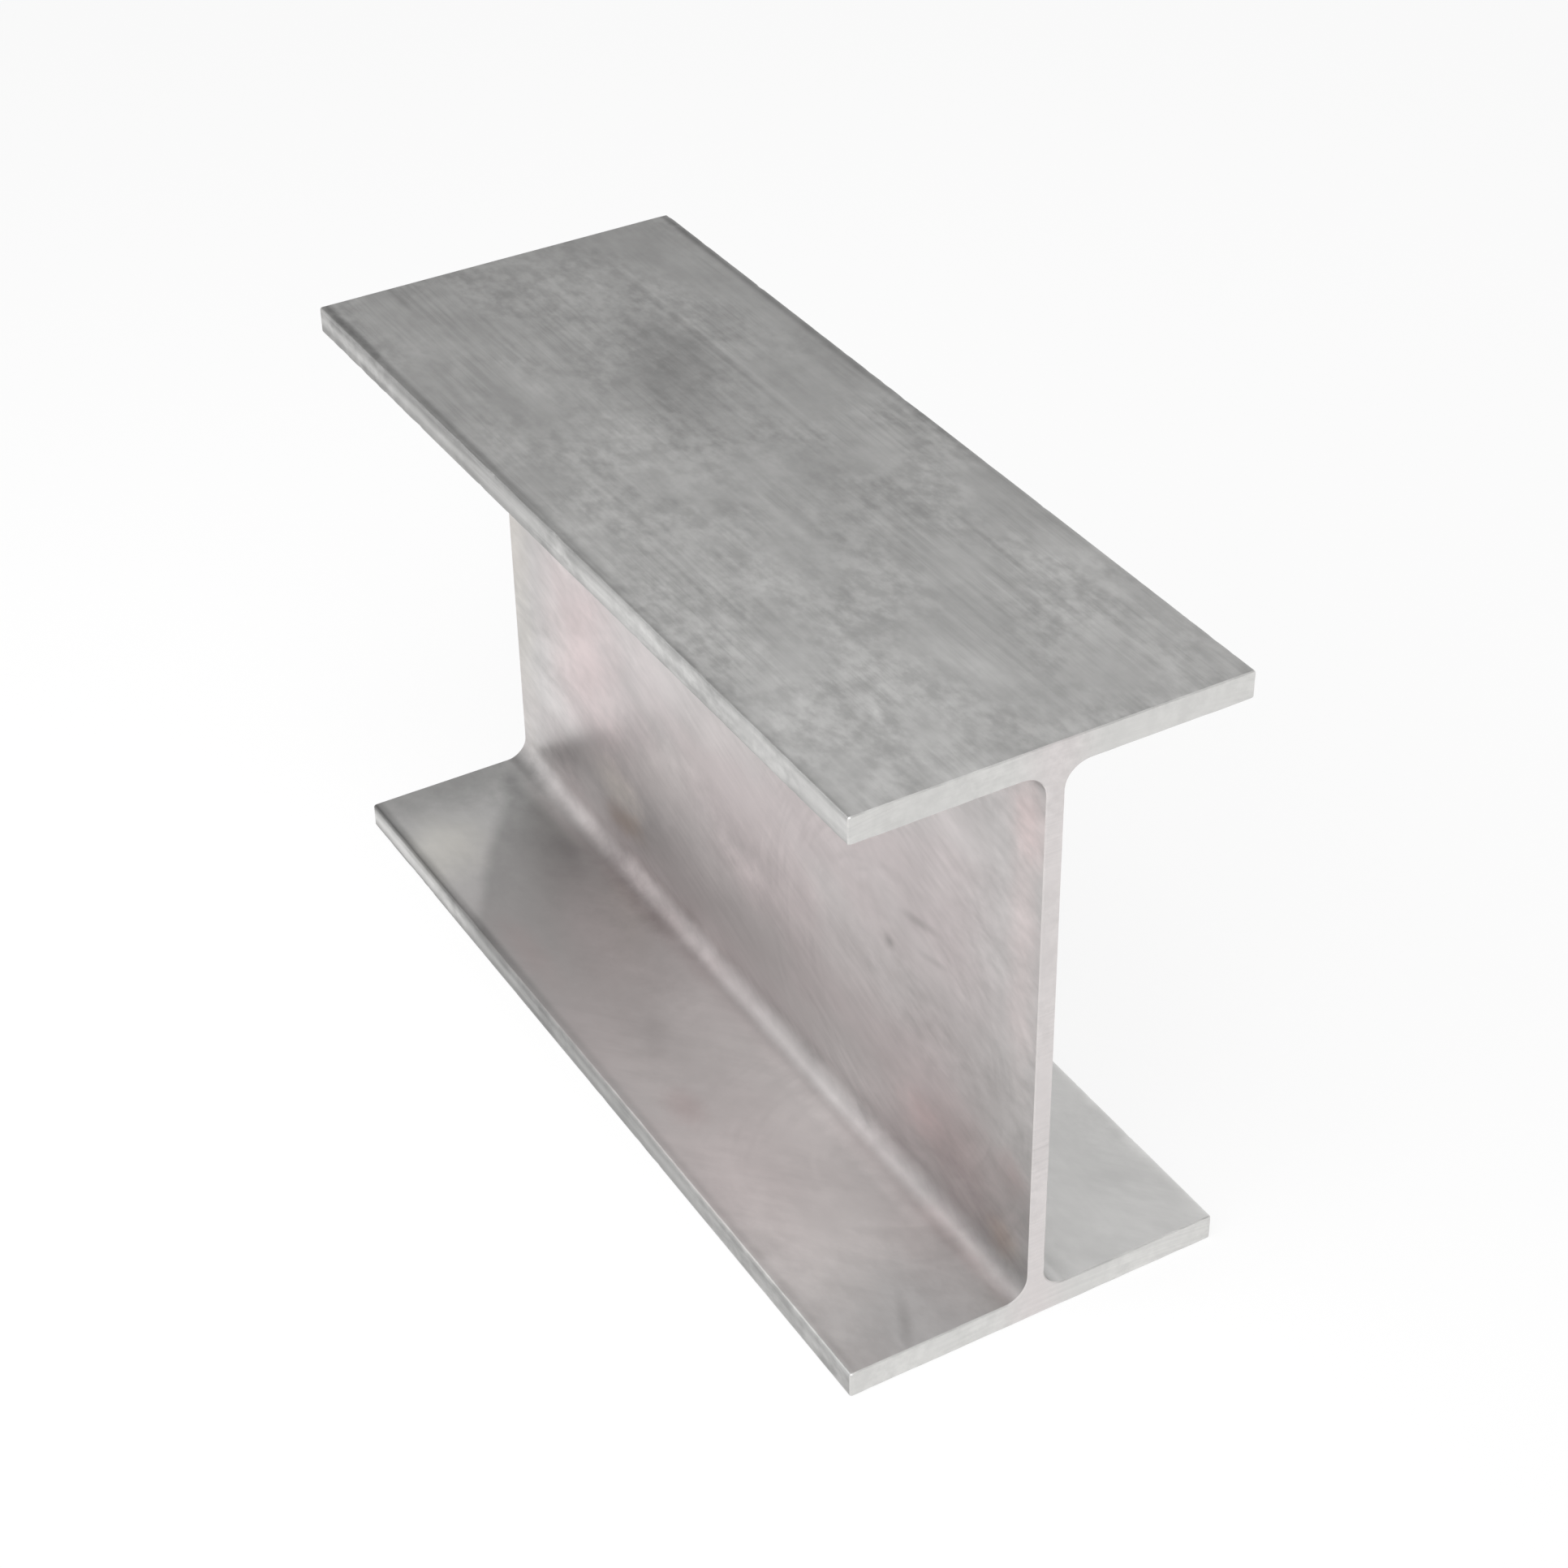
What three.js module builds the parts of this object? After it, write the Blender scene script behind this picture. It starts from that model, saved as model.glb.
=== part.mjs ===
// A short length of I-beam: two flat parallel flanges joined by a thin upright web.
// The bar was rolled as one piece and sawn to length, so the whole beam is one solid.
//
// Millimetres. +X runs along the beam, +Y across the flanges and +Z up. The origin is the
// middle of the face that the beam stands on.

import * as THREE from 'three';

// Driving dimensions

const beamLength = 321; // from one sawn end to the other
const sectionDepth = 203; // over both flanges
const flangeWidth = 125.5; // across either flange
const flangeThickness = 8.8;
const webThickness = 5.7;
const rootRadius = 7.6; // inside corner where the web runs into a flange
const toeRadius = 0.8; // long edges of the flanges, as the rolls leave them
const deburr = 0.4; // burr filed off round each sawn end

const arcDivisions = 8; // a Shape draws each arc with twice this many chords

// Radii that follow their walls. A flange edge is never rounder than half the flange, a root
// fillet stops short of the flange edge and of mid web, and the file stays within the edge.

const toe = Math.min( toeRadius, flangeThickness / 2 );
const overhang = ( flangeWidth - webThickness ) / 2;
const root = Math.min( rootRadius, overhang - toe, sectionDepth / 2 - flangeThickness );
const endBevel = Math.min( deburr, toe / 2 );

// The right-hand side of the section, from its foot to its head, about the section's centre.
// It is six quarter circles, and straight lines join each to the next. Directions count
// quarter turns from the shape's x. A corner that turns out runs with them, and a hollow one,
// such as a root fillet, runs against them.

const edge = flangeWidth / 2;
const outerFace = sectionDepth / 2;
const innerFace = outerFace - flangeThickness;
const webFace = webThickness / 2;

const rightSide = [

	// lower flange: its outer edge, its inner edge, then the fillet up into the web
	{ x: edge - toe, y: - outerFace + toe, radius: toe, from: - 1, to: 0 },
	{ x: edge - toe, y: - innerFace - toe, radius: toe, from: 0, to: 1 },
	{ x: webFace + root, y: - innerFace + root, radius: root, from: - 1, to: - 2 },

	// upper flange: the fillet out of the web, its inner edge, then its outer edge
	{ x: webFace + root, y: innerFace - root, radius: root, from: 2, to: 1 },
	{ x: edge - toe, y: innerFace + toe, radius: toe, from: - 1, to: 0 },
	{ x: edge - toe, y: outerFace - toe, radius: toe, from: 0, to: 1 },

];

// Half a turn about its centre lays the section on itself, so the left-hand side is the
// right-hand one turned round, which also carries the outline on from head to foot.

function drawSide( outline, side ) {

	const quarterTurn = Math.PI / 2;
	const turned = side === 'left' ? - 1 : 1;
	const halfTurn = side === 'left' ? 2 * quarterTurn : 0;

	for ( const { x, y, radius, from, to } of rightSide ) {

		const start = from * quarterTurn + halfTurn;
		const end = to * quarterTurn + halfTurn;
		outline.absarc( turned * x, turned * y, radius, start, end, to < from );

	}

}

function section() {

	const outline = new THREE.Shape();
	drawSide( outline, 'right' );
	drawSide( outline, 'left' );
	outline.closePath();
	return outline;

}

// The section drawn out to the beam's length, with both sawn ends bevelled inside it, and its
// centre brought back to the middle of the bar.

function barGeometry() {

	const geometry = new THREE.ExtrudeGeometry( section(), {
		depth: beamLength - 2 * endBevel,
		curveSegments: arcDivisions,
		bevelEnabled: true,
		bevelThickness: endBevel,
		bevelSize: endBevel,
		bevelOffset: - endBevel,
		bevelSegments: 1,
	} );

	geometry.translate( 0, 0, endBevel - beamLength / 2 );
	return geometry;

}

// Bare steel with its scale pickled off: pale grey, with a satin sheen.

const pickledSteel = new THREE.MeshStandardMaterial( {
	color: 0xb9b6b4,
	metalness: 0.85,
	roughness: 0.45,
} );

// The shape's x, its y and the way it is drawn out become +Y, +Z and +X.

function iBeam() {

	const mesh = new THREE.Mesh( barGeometry(), pickledSteel );
	mesh.name = 'i_beam';

	const across = new THREE.Vector3( 0, 1, 0 );
	const up = new THREE.Vector3( 0, 0, 1 );
	const along = new THREE.Vector3( 1, 0, 0 );
	mesh.quaternion.setFromRotationMatrix( new THREE.Matrix4().makeBasis( across, up, along ) );
	mesh.position.z = sectionDepth / 2;

	return mesh;

}

const beam = new THREE.Group();
beam.add( iBeam() );

export default beam;
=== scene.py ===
# %% [markdown]
# # A short length of rolled I-beam
#
# The object is one bar of steel: two flat flanges joined by a thin web. It was rolled hot,
# pickled to take the scale off, and sawn to length. Nothing on it is bolted, welded or
# painted, so the work goes into three things: a section whose corners are right, faces that
# carry the marks of rolling, handling and sawing, and light that shows bare metal as metal.
#
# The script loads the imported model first, because it fixes every size below.

# %% Load the frame
import math

import bpy
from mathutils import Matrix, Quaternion, Vector


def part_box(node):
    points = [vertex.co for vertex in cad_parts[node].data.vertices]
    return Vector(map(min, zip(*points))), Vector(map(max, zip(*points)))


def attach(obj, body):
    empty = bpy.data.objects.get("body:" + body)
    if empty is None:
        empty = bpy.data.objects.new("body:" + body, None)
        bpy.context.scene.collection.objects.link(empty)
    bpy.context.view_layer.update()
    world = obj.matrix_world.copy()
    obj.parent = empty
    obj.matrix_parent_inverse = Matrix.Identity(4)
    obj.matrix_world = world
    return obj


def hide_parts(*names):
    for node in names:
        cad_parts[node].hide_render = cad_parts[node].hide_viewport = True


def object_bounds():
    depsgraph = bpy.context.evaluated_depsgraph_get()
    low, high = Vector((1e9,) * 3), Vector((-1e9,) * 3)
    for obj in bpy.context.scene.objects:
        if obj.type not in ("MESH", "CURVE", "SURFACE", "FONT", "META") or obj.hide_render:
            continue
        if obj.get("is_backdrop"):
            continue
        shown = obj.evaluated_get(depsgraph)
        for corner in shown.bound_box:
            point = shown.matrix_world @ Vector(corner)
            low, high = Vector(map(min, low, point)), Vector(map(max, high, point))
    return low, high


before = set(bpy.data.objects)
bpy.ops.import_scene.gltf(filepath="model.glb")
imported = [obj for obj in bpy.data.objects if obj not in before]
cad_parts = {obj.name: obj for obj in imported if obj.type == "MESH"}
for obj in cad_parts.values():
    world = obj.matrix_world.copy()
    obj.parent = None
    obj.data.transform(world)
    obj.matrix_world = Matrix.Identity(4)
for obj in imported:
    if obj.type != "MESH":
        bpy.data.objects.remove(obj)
cad_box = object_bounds()
low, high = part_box("i_beam")
centre = (low + high) / 2
print("the bar measures", [round(side, 4) for side in high - low], "metres")

# %% [markdown]
# ## Reading the section off the bar
#
# The corner sizes could be typed in again, but a typed size goes wrong when the model
# changes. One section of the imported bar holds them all. Its vertices just behind the filed
# end are the true outline: the nearest to the middle lie on the web, the farthest out lie on
# the flat tip of a flange, and the flat ledge starts where the root fillet ends.

# %% Measure the section
TINY = 1e-6
MILLIMETRE = 0.001


def section_sizes():
    """Every size of the rolled section, in metres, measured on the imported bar."""
    points = [vertex.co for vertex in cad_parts["i_beam"].data.vertices]
    shoulder = max(p.x for p in points if p.x < high.x - TINY)
    outline = [p for p in points if abs(p.x - shoulder) < TINY]
    web = 2 * min(abs(p.y) for p in outline)
    tip = [p.z for p in outline if p.y > high.y - TINY and p.z < centre.z]
    toe_radius = min(tip)
    flange = max(tip) + toe_radius
    ledge = [abs(p.y) for p in outline if abs(p.z - flange) < TINY]
    return {
        "Length": high.x - low.x,
        "Depth": high.z - low.z,
        "Width": high.y - low.y,
        "Flange": flange,
        "Web": web,
        "Root Radius": min(ledge) - web / 2,
        "Toe Radius": toe_radius,
        "Deburr": high.x - shoulder,
    }


sizes = section_sizes()
for name, size in sizes.items():
    print(f"{name}: {size / MILLIMETRE:.2f} mm")

# %% [markdown]
# ## Camera
#
# The view looks down on one corner of the bar, so that the top, one sawn end and one side of
# the web all show. A long lens from a metre away keeps the edges nearly parallel. The camera
# is aimed at the middle of the bar from a direction, then rolled by about a degree, as a
# hand-held one is.

# %% Place the camera
LENS = 75
SENSOR = 36
CAMERA_AZIMUTH = math.radians(60.18)
CAMERA_ELEVATION = math.radians(35.59)
CAMERA_ROLL = math.radians(-1.03)
CAMERA_DISTANCE = 1.0035
NEAREST_SEEN = 0.05
AIM = Vector((0.0089, 0.0062, 0.0951))


def direction(azimuth, elevation):
    """The unit vector from the bar to a place round it. Azimuth 0 is -Y and 90 degrees is +X."""
    return Vector((
        math.sin(azimuth) * math.cos(elevation),
        -math.cos(azimuth) * math.cos(elevation),
        math.sin(elevation),
    ))


def place_camera():
    """The scene's camera, aimed at AIM from its azimuth and elevation."""
    data = bpy.data.cameras.new("camera")
    data.lens = LENS
    data.sensor_width = SENSOR
    data.clip_start = NEAREST_SEEN
    back = direction(CAMERA_AZIMUTH, CAMERA_ELEVATION)
    camera = bpy.data.objects.new("camera", data)
    camera.location = AIM + back * CAMERA_DISTANCE
    camera.rotation_mode = "QUATERNION"
    level = (-back).to_track_quat("-Z", "Y")
    camera.rotation_quaternion = Quaternion(back, CAMERA_ROLL) @ level
    bpy.context.collection.objects.link(camera)
    bpy.context.scene.camera = camera
    return camera


camera = place_camera()
print("the camera stands at", [round(value, 3) for value in camera.location])

# %% [markdown]
# ## Wiring nodes from code
#
# Both the shape and the finishes below are node trees. A tree could be wired by hand in the
# editor, but a script can be run again. One helper adds a node, sets it up, feeds its inputs
# and hands back the output that the next node needs. That output comes in a small class of
# its own, so that it can stand in a sum and a formula still reads as one.

# %% Node helpers
NODE_SPACING = 200


class Value:
    """A node's output, which can stand in a sum as a number does."""

    def __init__(self, out):
        self.out = out
        self.tree = out.id_data

    def outputs(self):
        """Every output of the same node, by name."""
        return {s.name: Value(s) for s in self.out.node.outputs}

    def times(self, factor, plus):
        """This value times a factor and plus another, in one node."""
        return maths("MULTIPLY_ADD", self, factor, plus)

    def at_most(self, limit):
        """The smaller of this value and a limit."""
        return maths("MINIMUM", self, limit)

    def at_least(self, limit):
        """The larger of this value and a limit."""
        return maths("MAXIMUM", self, limit)

    def __abs__(self):
        return maths("ABSOLUTE", self)

    def __add__(self, other):
        return maths("ADD", self, other)

    def __radd__(self, other):
        return maths("ADD", other, self)

    def __sub__(self, other):
        return maths("SUBTRACT", self, other)

    def __rsub__(self, other):
        return maths("SUBTRACT", other, self)

    def __mul__(self, other):
        return maths("MULTIPLY", self, other)

    def __truediv__(self, other):
        return maths("DIVIDE", self, other)

    def __rtruediv__(self, other):
        return maths("DIVIDE", other, self)


def socket(sockets, key):
    """One of a node's sockets, by its number, its identifier or its name."""
    if isinstance(key, int):
        return sockets[key]
    return next(s for s in sockets if key in (s.identifier, s.name))


def feed(node, inputs):
    """Links a node's inputs to the values among inputs, and sets the rest to plain numbers."""
    for key, value in inputs.items():
        target = socket(node.inputs, key)
        if isinstance(value, Value):
            value.tree.links.new(value.out, target)
        else:
            target.default_value = value


def add(tree, kind, inputs=None, output=0, **settings):
    """A new node with its settings and inputs, as the one output that is wanted."""
    node = tree.nodes.new(kind)
    node.location.x = NODE_SPACING * len(tree.nodes)
    for setting, value in settings.items():
        setattr(node, setting, value)
    feed(node, inputs or {})
    return Value(socket(node.outputs, output))


def tree_of(values):
    """The tree of the first node output among some values."""
    return next(value.tree for value in values if isinstance(value, Value))


def maths(operation, *values):
    """A Math node fed with node outputs or plain numbers."""
    inputs = dict(enumerate(values))
    return add(tree_of(values), "ShaderNodeMath", inputs, operation=operation)


print("node helpers ready")

# %% [markdown]
# ## Vectors
#
# A place or a direction is three numbers in one link. It is worked on as a whole where it
# can be, and taken apart into x, y and z where a rule treats them differently.

# %% Vector helpers
MEASURES = ("DISTANCE", "DOT_PRODUCT", "LENGTH")


def vectors(operation, *values):
    """A Vector Math node fed with node outputs or plain vectors."""
    output = "Value" if operation in MEASURES else "Vector"
    inputs = dict(enumerate(values))
    return add(tree_of(values), "ShaderNodeVectorMath", inputs, output, operation=operation)


def scaled(vector, factor):
    """A vector or a colour multiplied by a number."""
    inputs = {0: vector, "Scale": factor}
    return add(vector.tree, "ShaderNodeVectorMath", inputs, operation="SCALE")


def vector_of(x, y=0, z=0):
    """A vector put together from its parts."""
    inputs = {"X": x, "Y": y, "Z": z}
    return add(tree_of(inputs.values()), "ShaderNodeCombineXYZ", inputs)


def parts_of(vector):
    """The x, y and z of a vector."""
    return add(vector.tree, "ShaderNodeSeparateXYZ", {0: vector}).outputs().values()


print("vector helpers ready")

# %% [markdown]
# ## A tree with named inputs
#
# A tree that is used in several places, or whose sizes a maker may want to change, has inputs
# of its own, each with a name and a value to start from. The kind of an input follows from
# that value: one number, three numbers, or nothing yet for a finish.

# %% Tree helper
ORIGIN = (0, 0, 0)
INPUT_TYPES = {
    float: "NodeSocketFloat",
    tuple: "NodeSocketVector",
    type(None): "NodeSocketMaterial",
}
OUTPUT_TYPES = {
    "GeometryNodeTree": "NodeSocketGeometry",
    "ShaderNodeTree": "NodeSocketFloat",
}


def new_tree(name, kind, inputs, build):
    """A node tree. build makes its nodes: it gets the inputs and hands back the outputs."""
    tree = bpy.data.node_groups.new(name, kind)
    for label, value in inputs.items():
        socket_type = INPUT_TYPES[type(value)]
        item = tree.interface.new_socket(label, in_out="INPUT", socket_type=socket_type)
        if value is not None:
            item.default_value = value
    start = tree.nodes.new("NodeGroupInput")
    results = build({s.name: Value(s) for s in start.outputs if s.name})
    for label in results:
        tree.interface.new_socket(label, in_out="OUTPUT", socket_type=OUTPUT_TYPES[kind])
    feed(tree.nodes.new("NodeGroupOutput"), results)
    print(name, "has", len(tree.nodes), "nodes")
    return tree


print("tree helper ready")

# %% [markdown]
# ## The rolled section
#
# A mill squeezes a hot bloom between shaped rolls until its section is an I. The outline has
# twelve corners. The eight at the flange toes are nearly sharp, and the four roots, where
# the web meets the flanges, carry a wide fillet, because a sharp inside corner would crack.
#
# The outline could be a list of points, but a rule is shorter and follows its sizes: six
# corners of one side, and the same six turned half round for the other. A circle curve of
# twelve points is moved on to them, and Fillet Curve rounds each with its own radius.

# %% Corners of the section
SIDE_CORNERS = 6
TOE_STEPS = 5
ROOT_STEPS = 14
MIDDLE_CORNER = (SIDE_CORNERS - 1) / 2
ROOTS_WITHIN = 0.6


def section_corners(tree, given, index):
    """The twelve corners as a closed curve about the section's centre: x across, y up."""
    edge = given["Width"] * 0.5
    outer = given["Depth"] * 0.5
    inner = outer - given["Flange"]
    web_face = given["Web"] * 0.5
    ledge = inner * -1
    side = [(edge, outer * -1), (edge, ledge), (web_face, ledge)]
    side += [(web_face, inner), (edge, inner), (edge, outer)]

    pick = tree.nodes.new("GeometryNodeIndexSwitch")
    pick.data_type = "VECTOR"
    for _ in range(SIDE_CORNERS - len(pick.index_switch_items)):
        pick.index_switch_items.new()
    feed(pick, {"Index": maths("MODULO", index, SIDE_CORNERS)})
    feed(pick, {number + 1: vector_of(*corner) for number, corner in enumerate(side)})

    half_turn = maths("LESS_THAN", index, SIDE_CORNERS).times(2, -1)
    place = scaled(Value(pick.outputs[0]), half_turn)
    circle = add(tree, "GeometryNodeCurvePrimitiveCircle", {"Resolution": 2 * SIDE_CORNERS})
    return add(tree, "GeometryNodeSetPosition", {"Geometry": circle, "Position": place})


def rounded_section(tree, given):
    """The outline with its toes and roots rounded, and its flats cut into short steps."""
    index = add(tree, "GeometryNodeInputIndex")
    corners = section_corners(tree, given, index)

    # The two corners nearest to the middle of each side are the roots.
    along_side = maths("MODULO", index, SIDE_CORNERS)
    is_root = maths("COMPARE", along_side, MIDDLE_CORNER, ROOTS_WITHIN)
    toe_radius = given["Toe Radius"]
    radius = is_root.times(given["Root Radius"] - toe_radius, toe_radius)
    steps = is_root.times(ROOT_STEPS - TOE_STEPS, TOE_STEPS)
    inputs = {"Curve": corners, "Radius": radius, "Count": steps, "Limit Radius": True}
    rounded = add(tree, "GeometryNodeFilletCurve", inputs, mode="POLY")

    # A stretch is cut as often as the step goes into it, so the arcs' short chords stay.
    inputs = {"Point Index": index, "Offset": 1}
    after = add(tree, "GeometryNodeOffsetPointInCurve", inputs, "Point Index")
    here = add(tree, "GeometryNodeInputPosition")
    inputs = {"Value": here, "Index": after}
    there = add(tree, "GeometryNodeFieldAtIndex", inputs, data_type="FLOAT_VECTOR")
    cuts = maths("FLOOR", vectors("DISTANCE", here, there) / given["Section Step"])
    return add(tree, "GeometryNodeSubdivideCurve", {"Curve": rounded, "Cuts": cuts})


print("the outline has", 2 * SIDE_CORNERS, "corners")

# %% [markdown]
# ## Drawing the section out into a bar
#
# Curve to Mesh sweeps the outline along a straight line and closes both ends. Each point of
# the line is a station along the bar. They are evenly spaced, except that the last one at
# each end lies only a burr's width past its neighbour: the outline is drawn in a little
# there, which makes the narrow bevel that a file leaves round a sawn end.
#
# The sweep turns the outline by a rule of its own, so its points are set again afterwards:
# each remembers where it lay on the outline and which way was out.

# %% Sweep


def remember(geometry, **fields):
    """Captures vector fields on a geometry: the geometry, then each captured field."""
    node = geometry.tree.nodes.new("GeometryNodeCaptureAttribute")
    for label in fields:
        node.capture_items.new("VECTOR", label)
    feed(node, {"Geometry": geometry} | fields)
    return [Value(node.outputs[label]) for label in ("Geometry", *fields)]


def stations(tree, given):
    """A line with one point for each station, and the x of each."""
    last = maths("CEIL", given["Length"] / given["Length Step"]) + 2
    line = add(tree, "GeometryNodeCurvePrimitiveLine", {"End": vector_of(given["Length"])})
    inputs = {"Curve": line, "Count": last + 1}
    line = add(tree, "GeometryNodeResampleCurve", inputs, mode="COUNT")

    half = given["Length"] * 0.5
    shoulder = half - given["Deburr"]
    index = add(tree, "GeometryNodeInputIndex")
    inputs = {0: index, 1: 1, 2: last - 1, 3: shoulder * -1, 4: shoulder}
    even = add(tree, "ShaderNodeMapRange", inputs, clamp=False)
    return line, vector_of(even.at_most(half).at_least(half * -1))


def swept_bar(tree, given):
    """The bar as a closed mesh in its place, with the outward direction at each point."""
    outline = rounded_section(tree, given)
    flat = add(tree, "GeometryNodeInputPosition")
    tangent = add(tree, "GeometryNodeInputTangent")
    outline, flat, tangent = remember(outline, flat=flat, tangent=tangent)
    line, x = stations(tree, given)
    line, x = remember(line, x=x)
    inputs = {"Curve": line, "Profile Curve": outline, "Fill Caps": True}
    bar = add(tree, "GeometryNodeCurveToMesh", inputs)

    across, up, _ = parts_of(flat)
    along, _, _ = parts_of(x)
    place = vector_of(along, across, up + given["Depth"] * 0.5)
    bar = add(tree, "GeometryNodeSetPosition", {"Geometry": bar, "Position": place})

    # Out is a quarter turn from the way the outline runs.
    run_across, run_up, _ = parts_of(tangent)
    return bar, vector_of(0, run_up, run_across * -1)


print("sweep ready")

# %% [markdown]
# ## Relief
#
# No rolled face is truly flat, and no edge is truly even. Three small offsets, all along the
# outward direction, bring the bar to life where light runs along it. The rolls leave low
# waves a few hundredths of a millimetre high, drawn out along the bar. The toes have been
# knocked back in places. And the file took a little more off one stretch of the sawn ends
# than off the next.

# %% Waves, knocked edges and the filed ends
WAVE_SIZE = 0.035
WAVE_STRETCH = 4
KNOCK_SIZE = 0.006
KNOCK_REACH = 0.0013
KNOCK_RANGE = (0.5, 0.8)
FILED_RANGE = (0.3, 0.7, 0.6, 1.1)


def noise(vector, size, seed, detail=2.0, roughness=0.5):
    """Cloudy noise about 0.5, whose patches are size metres across."""
    inputs = {"Vector": vector, "W": seed, "Scale": 1 / size}
    inputs |= {"Detail": detail, "Roughness": roughness}
    return add(vector.tree, "ShaderNodeTexNoise", inputs, noise_dimensions="4D")


def remap(value, start, end, to_start=0.0, to_end=1.0, smooth=True):
    """value moved from one range to another, and held there past its ends."""
    kind = "SMOOTHSTEP" if smooth else "LINEAR"
    inputs = {0: value, 1: start, 2: end, 3: to_start, 4: to_end}
    return add(value.tree, "ShaderNodeMapRange", inputs, interpolation_type=kind)


def face_distance(given, z):
    """How far below the nearer outer face a height lies."""
    half_depth = given["Depth"] * 0.5
    return half_depth - abs(z - half_depth)


def toe_distance(given, position):
    """How far a point of a section lies from the nearest of the eight toes."""
    _, y, z = parts_of(position)
    from_edge = given["Width"] * 0.5 - abs(y)
    from_face = face_distance(given, z)
    from_side = abs(from_face).at_most(abs(given["Flange"] - from_face))
    return maths("SQRT", from_side.times(from_side, from_edge * from_edge))


def relief(tree, given, bar, out):
    """The bar with its skin moved along out by waves, knocks and the file."""
    position = add(tree, "GeometryNodeInputPosition")
    drawn_out = vectors("MULTIPLY", position, (1 / WAVE_STRETCH, 1, 1))
    wave = noise(drawn_out, WAVE_SIZE, given["Seed"]) - 0.5
    patches = noise(position, KNOCK_SIZE, given["Seed"])
    at_toe = remap(toe_distance(given, position), 0, KNOCK_REACH, 1, 0)
    knock = remap(patches, *KNOCK_RANGE) * at_toe * given["Knock Depth"]
    x, _, _ = parts_of(position)
    at_end = maths("COMPARE", abs(x), given["Length"] * 0.5, TINY)
    filed = at_end * given["Deburr"] * remap(patches, *FILED_RANGE)
    move = scaled(out, wave * given["Wave Height"] - knock - filed)
    return add(tree, "GeometryNodeSetPosition", {"Geometry": bar, "Offset": move})


print("relief ready")

# %% The whole tree
SECTION_STEP = 0.003
LENGTH_STEP = 0.0016
WAVE_HEIGHT = 0.00006
KNOCK_DEPTH = 0.00035
SHAPE_SEED = 3.0
FACING_OUT_OF_THE_END = 0.5


def build_bar(given):
    """The whole bar from its named sizes, with a finish on each face."""
    tree = given["Length"].tree
    bar, out = swept_bar(tree, given)
    bar = relief(tree, given, bar, out)
    bar = add(tree, "GeometryNodeRealizeInstances", {"Geometry": bar})
    inputs = {"Geometry": bar, "Material": given["Rolled Faces"]}
    bar = add(tree, "GeometryNodeSetMaterial", inputs)
    facing, _, _ = parts_of(add(tree, "GeometryNodeInputNormal"))
    is_sawn = maths("GREATER_THAN", abs(facing), FACING_OUT_OF_THE_END)
    inputs = {"Geometry": bar, "Selection": is_sawn, "Material": given["Sawn Ends"]}
    return {"Bar": add(tree, "GeometryNodeSetMaterial", inputs)}


bar_inputs = sizes | {
    "Section Step": SECTION_STEP,
    "Length Step": LENGTH_STEP,
    "Wave Height": WAVE_HEIGHT,
    "Knock Depth": KNOCK_DEPTH,
    "Seed": SHAPE_SEED,
    "Rolled Faces": None,
    "Sawn Ends": None,
}
bar_nodes = new_tree("rolled_bar", "GeometryNodeTree", bar_inputs, build_bar)

# %% [markdown]
# ## Where on the bar a point lies
#
# The faces of the bar don't look alike. The top has lain in the weather and on trestles, the
# channels either side of the web are smoother, and the flange tips carry painted shade. Each
# finish below needs to know which part of the bar it is on. That could be painted by hand, but
# the section is so regular that a few sums on a point's own place are enough. They go into a
# shader node group, because both finishes of the bar use them.

# %% Places on the section
FACE_BLEND = 0.0007
WEB_REACH = 0.016
ROOT_FADE = (0.006, 0.012, 1, 0)
NEEDED_SIZES = ("Length", "Depth", "Width", "Flange")


def build_places(given):
    """Masks and distances that say where on the section a point lies."""
    x, y, z = parts_of(given["Position"])
    from_face = face_distance(given, z)
    into_channel = from_face - given["Flange"]
    from_web = abs(y)
    from_tip = given["Width"] * 0.5 - from_web
    return {
        "Outer Face": remap(from_face, 0, FACE_BLEND, 1, 0),
        "Channel": remap(into_channel, -FACE_BLEND, 0),
        "Left": remap(y, -FACE_BLEND, FACE_BLEND, 1, 0),
        "Ledge": remap(from_web, 0, WEB_REACH),
        "Root": remap(into_channel, *ROOT_FADE) * remap(from_web, *ROOT_FADE),
        "Tip": remap(from_tip, 0, FACE_BLEND, 1, 0),
        "Edge Distance": toe_distance(given, given["Position"]),
        "End Distance": given["Length"] * 0.5 - abs(x),
    }


places_inputs = {"Position": ORIGIN} | {name: sizes[name] for name in NEEDED_SIZES}
places = new_tree("places_on_the_bar", "ShaderNodeTree", places_inputs, build_places)

# %% [markdown]
# ## Lines drawn along the steel
#
# The rolls drag every pit and ridge of their own surface along the bar, so a rolled face has
# fine lines that all run one way, start and stop, and never cross. A saw draws such lines
# across an end, and other bars draw them at a slant. Noise that is squeezed across the lines
# and stretched along them gives all three, so one group with a turn serves for all.

# %% Drawn lines
LINES_RANGE = (0.33, 0.67)
LINES_PATCH = 0.03
LINES_BREAKS = (0.35, 0.65, 0.15, 1)


def build_lines(given):
    """Fine broken lines along x, or as turned, as a value about 0.5."""
    position = given["Position"]
    inputs = {0: position, "Rotation": given["Turn"]}
    turned = add(position.tree, "ShaderNodeVectorRotate", inputs, rotation_type="EULER_XYZ")
    x, y, z = parts_of(turned)
    squeezed = vector_of(x / given["Run"], y / given["Pitch"], z / given["Pitch"])
    lines = noise(squeezed, 1, given["Seed"], detail=3, roughness=0.6)
    lines = remap(lines, *LINES_RANGE)

    # Lines come and go over the surface.
    strength = remap(noise(position, LINES_PATCH, given["Seed"]), *LINES_BREAKS)
    return {"Lines": (lines - 0.5).times(strength, 0.5)}


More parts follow.
